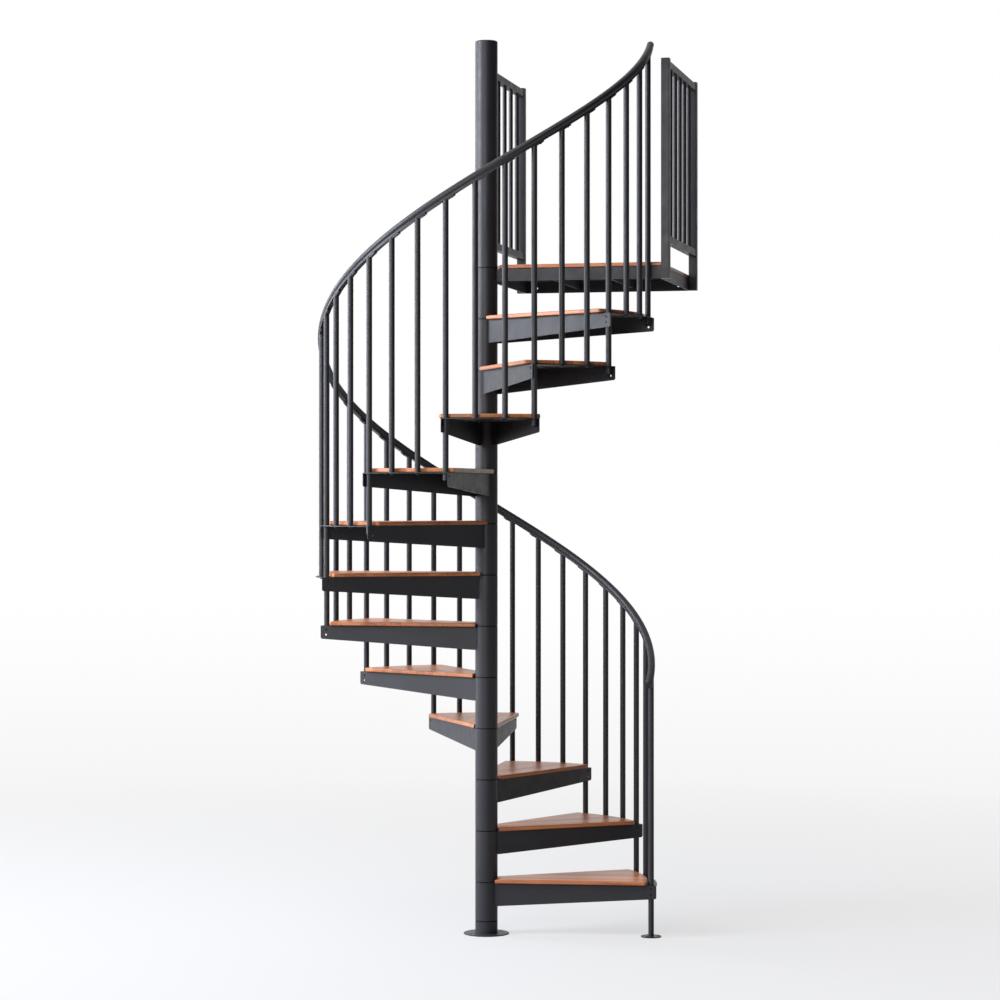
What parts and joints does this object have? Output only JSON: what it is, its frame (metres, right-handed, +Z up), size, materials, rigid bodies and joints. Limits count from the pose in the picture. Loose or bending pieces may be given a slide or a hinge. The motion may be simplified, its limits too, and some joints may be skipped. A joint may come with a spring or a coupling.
{
  "type": "spiral staircase",
  "caption": "Spiral staircase with coated steel tread pans and wooden boards round a centre column, a helical handrail on slim balusters and a square guarded landing.",
  "frame": {"origin": "centre of the base plate's underside, on the column axis at floor level", "axes": "+Z up along the column, +X along the landing's front edge, +Y from the landing's front edge to its open back edge"},
  "size_m": [1.617, 1.5511, 4.053],
  "materials": {
    "coated_steel": "satin",
    "board_wood": "satin",
    "ring_plastic": "matte"
  },
  "bodies": {
    "root": {"base_plate": "coated_steel", "centre_pole": "coated_steel", "column_top_sleeve": "coated_steel", "column_cap": "coated_steel", "newel_post": "coated_steel", "newel_foot": "coated_steel", "balusters_lower": "coated_steel", "balusters_lower_middle": "coated_steel", "balusters_upper_middle": "coated_steel", "balusters_upper": "coated_steel", "handrail": "coated_steel", "handrail_caps": "coated_steel", "rail_clips": "coated_steel", "landing_frame": "coated_steel", "landing_posts": "coated_steel", "landing_guard_right": "coated_steel", "landing_guard_left": "coated_steel", "tread_frame_01": "coated_steel", "tread_frame_02": "coated_steel", "tread_frame_03": "coated_steel", "tread_frame_04": "coated_steel", "tread_frame_05": "coated_steel", "tread_frame_06": "coated_steel", "tread_frame_07": "coated_steel", "tread_frame_08": "coated_steel", "tread_frame_09": "coated_steel", "tread_frame_10": "coated_steel", "tread_frame_11": "coated_steel", "tread_frame_12": "coated_steel", "tread_board_01": "board_wood", "tread_board_02": "board_wood", "tread_board_03": "board_wood", "tread_board_04": "board_wood", "tread_board_05": "board_wood", "tread_board_06": "board_wood", "tread_board_07": "board_wood", "tread_board_08": "board_wood", "tread_board_09": "board_wood", "tread_board_10": "board_wood", "tread_board_11": "board_wood", "tread_board_12": "board_wood", "landing_deck": "board_wood", "column_rings": "ring_plastic"}
  },
  "joints": []
}
